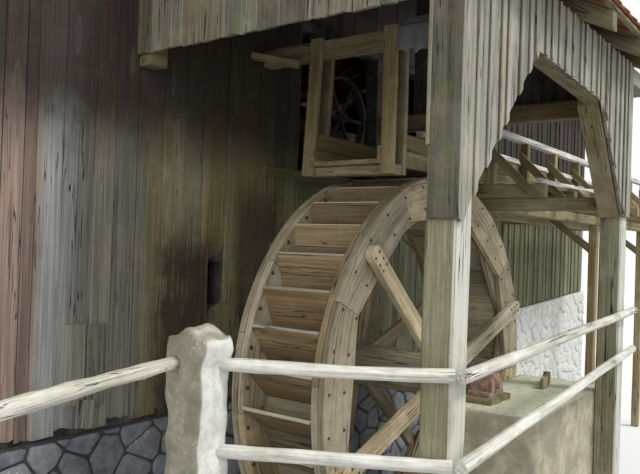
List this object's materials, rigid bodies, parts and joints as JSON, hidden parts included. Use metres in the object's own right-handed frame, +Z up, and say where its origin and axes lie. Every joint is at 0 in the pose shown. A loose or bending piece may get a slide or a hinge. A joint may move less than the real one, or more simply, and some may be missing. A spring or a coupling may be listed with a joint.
{
  "type": "overshot watermill",
  "caption": "Timber watermill on a stone plinth with an overshot water wheel under a lean-to roof, a plank flume, a bearing pier and a rail fence.",
  "frame": {"origin": "underside of the front plinth, below the wheel's axle, in the plane of the board wall's outer face", "axes": "+X out of the mill wall along the wheel's axle, +Y along the wall toward the flume's far end, +Z up"},
  "size_m": [10.1, 14.5315, 8.2607],
  "materials": {
    "rubble_stone": "rough",
    "concrete": "rough",
    "pale_stone": "rough",
    "wall_boards": "matte",
    "grey_boards": "matte",
    "green_timber": "matte",
    "brown_timber": "matte",
    "wet_timber": "matte",
    "pale_timber": "matte",
    "rusty_iron": "rough",
    "clay_tiles": "matte"
  },
  "bodies": {
    "mill": {"plinth_front": "rubble_stone", "plinth_rear": "rubble_stone", "end_plinths": "rubble_stone", "front_wall_near": "wall_boards", "front_wall_far": "wall_boards", "front_wall_below_hatch": "wall_boards", "front_wall_above_hatch": "wall_boards", "rear_wall": "wall_boards", "gable_walls": "wall_boards", "roof_rafters": "brown_timber", "front_roof_tiles": "clay_tiles", "rear_roof_tiles": "clay_tiles", "shed_roof_tiles": "clay_tiles", "ridge_tiles": "clay_tiles", "near_post": "green_timber", "far_post": "green_timber", "eave_plate": "green_timber", "near_cross_beams": "brown_timber", "far_cross_beams": "brown_timber", "near_apron": "grey_boards", "far_apron": "grey_boards", "side_apron": "grey_boards", "knee_braces": "green_timber", "apron_rail": "green_timber", "flume_hanger": "brown_timber", "flume_trough": "brown_timber", "flume_frames": "brown_timber", "flume_rails": "brown_timber", "flume_trestles": "brown_timber", "bearing_pier": "concrete", "inner_pier": "concrete", "bearing_chocks": "brown_timber", "bearing_blocks": "rusty_iron", "stone_fence_posts": "pale_stone", "fence_rails": "pale_timber", "pulley_hangers": "brown_timber"},
    "wheel": {"wheel_axle": "wet_timber", "wheel_gudgeons": "rusty_iron", "wheel_shrouds": "wet_timber", "wheel_sole": "wet_timber", "bucket_floors": "wet_timber", "bucket_faces": "wet_timber", "wheel_arms": "wet_timber"},
    "pulley": {"pulley_wheel": "brown_timber", "pulley_shaft": "rusty_iron"}
  },
  "joints": [
    {"name": "wheel_spin", "type": "hinge", "parent": "mill", "child": "wheel", "pos_m": [1.115, 0, 1.93], "axis": [1, 0, 0], "continuous": true},
    {"name": "pulley_spin", "type": "hinge", "parent": "mill", "child": "pulley", "pos_m": [-0.305, 0.88, 4.586], "axis": [1, 0, 0], "continuous": true}
  ]
}
